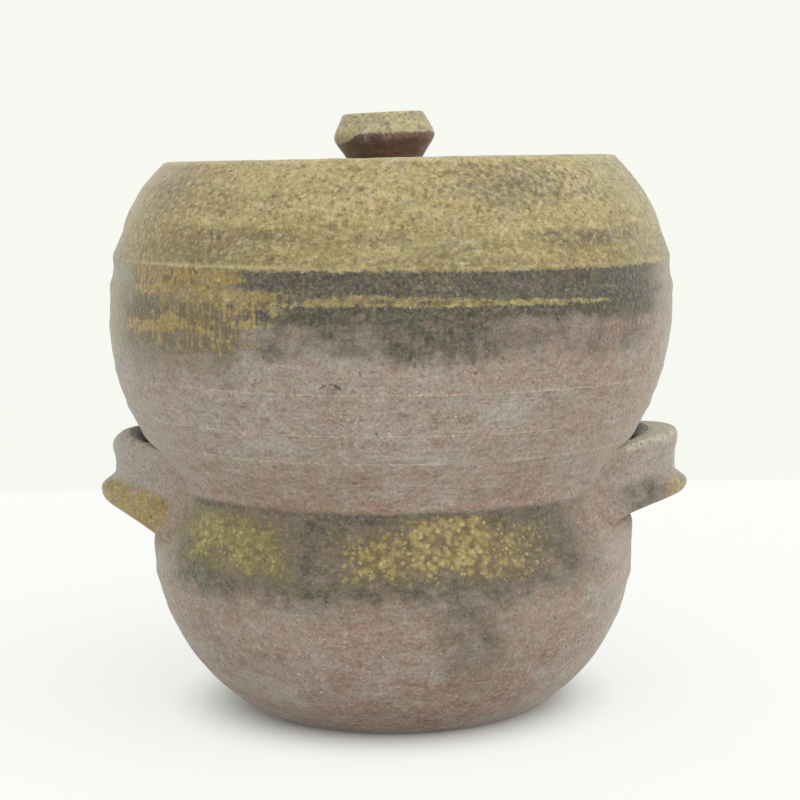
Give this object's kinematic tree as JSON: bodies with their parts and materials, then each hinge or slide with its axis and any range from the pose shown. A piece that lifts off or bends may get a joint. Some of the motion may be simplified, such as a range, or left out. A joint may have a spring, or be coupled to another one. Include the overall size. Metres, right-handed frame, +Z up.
{
  "type": "lidded stoneware water jar",
  "caption": "Squat wood-fired stoneware jar with a globe-shaped upper part on a round bowl, hollow strap lugs at the waist, and a dropped lid with a button knob, for holding water.",
  "frame": {"origin": "centre of the flat base, on the plane the jar stands on", "axes": "+Z up along the jar's axis, +X towards the right lug and -Y towards the viewer of the picture"},
  "size_m": [0.194, 0.1864, 0.1965],
  "materials": {
    "bowl_clay": "matte unglazed stoneware with ash specks",
    "globe_clay": "matte unglazed stoneware with a yellow ash shoulder",
    "lug_clay": "matte unglazed stoneware",
    "lid_clay": "matte unglazed stoneware with ash specks",
    "knob_clay": "matte unglazed stoneware"
  },
  "bodies": {
    "jar": {"lower_bowl": "bowl_clay", "upper_globe": "globe_clay", "left_lug": "lug_clay", "right_lug": "lug_clay"},
    "lid": {"lid_plate": "lid_clay", "lid_knob": "knob_clay"}
  },
  "joints": [
    {"name": "lid_lift", "type": "slide", "parent": "jar", "child": "lid", "axis": [0, 0, 1], "range_m": [0, 0.06]}
  ]
}
